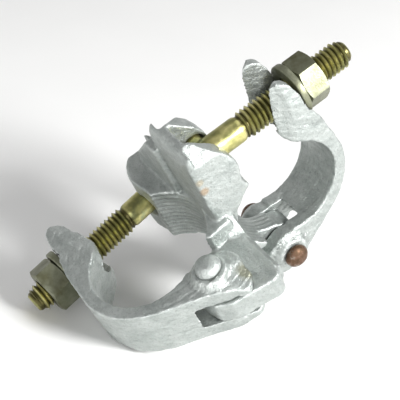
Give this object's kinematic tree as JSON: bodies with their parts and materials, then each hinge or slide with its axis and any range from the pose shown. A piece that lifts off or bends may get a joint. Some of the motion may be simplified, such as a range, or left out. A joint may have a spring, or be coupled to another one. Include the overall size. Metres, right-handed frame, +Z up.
{
  "type": "scaffold coupler",
  "caption": "Right-angle scaffold coupler: drop-forged body with back-to-back saddles, hinged flaps on rivets, and swinging T-bolts with washers and nuts, lying open.",
  "frame": {"origin": "on the ground, under the middle of the bounding box, with the coupler lying as it is seen", "axes": "+Z up; +Y away from the viewer; +X to the right"},
  "size_m": [0.1476, 0.109, 0.1245],
  "materials": {
    "galvanised": "hot-dip galvanised forging, dull silver-grey",
    "galvanised_rivet": "zinc-coated rivet head",
    "rusted_rivet": "rivet head with light brown rust",
    "passivated": "zinc plated, yellow-olive passivated"
  },
  "bodies": {
    "coupler_body": {"body_forging": "galvanised", "left_hinge_rivet": "galvanised_rivet", "right_hinge_rivet": "rusted_rivet"},
    "left_flap": {"left_flap": "galvanised"},
    "left_t_bolt": {"left_t_bolt": "passivated"},
    "left_washer": {"left_washer": "passivated"},
    "left_nut": {"left_nut": "passivated"},
    "right_flap": {"right_flap": "galvanised"},
    "right_t_bolt": {"right_t_bolt": "passivated"},
    "right_washer": {"right_washer": "passivated"},
    "right_nut": {"right_nut": "passivated"}
  },
  "joints": [
    {"name": "left_flap_hinge", "type": "hinge", "parent": "coupler_body", "child": "left_flap", "pos_m": [0.01623, -0.03809, 0.03286], "axis": [-0.3522, -0.3339, 0.8744], "range_deg": [-17.2, 0]},
    {"name": "left_bolt_swing", "type": "hinge", "parent": "coupler_body", "child": "left_t_bolt", "pos_m": [-0.01415, 0.02814, 0.04592], "axis": [0.3522, 0.3339, -0.8744], "range_deg": [0, 90]},
    {"name": "left_washer_slide", "type": "slide", "parent": "left_t_bolt", "child": "left_washer", "axis": [-0.6948, -0.5327, -0.4833], "range_m": [0, 0.0075]},
    {"name": "left_nut_spin", "type": "hinge", "parent": "left_washer", "child": "left_nut", "pos_m": [-0.06278, -0.00915, 0.01209], "axis": [-0.6948, -0.5327, -0.4833], "range_deg": [-5, 1135]},
    {"name": "right_flap_hinge", "type": "hinge", "parent": "coupler_body", "child": "right_flap", "pos_m": [0.04182, 0.02225, 0.0255], "axis": [-0.5444, 0.833, 0.0988], "range_deg": [-8.8, 0]},
    {"name": "right_bolt_swing", "type": "hinge", "parent": "coupler_body", "child": "right_t_bolt", "pos_m": [0.00675, -0.00756, 0.08348], "axis": [0.5444, -0.833, -0.0988], "range_deg": [0, 86]},
    {"name": "right_washer_slide", "type": "slide", "parent": "right_t_bolt", "child": "right_washer", "axis": [0.7737, 0.4532, 0.4428], "range_m": [0, 0.0175]},
    {"name": "right_nut_spin", "type": "hinge", "parent": "right_washer", "child": "right_nut", "pos_m": [0.0609, 0.02417, 0.11447], "axis": [0.7737, 0.4532, 0.4428], "range_deg": [-5, 2635]}
  ],
  "couplings": [
    {"joint": "left_nut_spin", "follows": "left_washer_slide", "rad_per_m": 2618},
    {"joint": "right_nut_spin", "follows": "right_washer_slide", "rad_per_m": 2618}
  ]
}
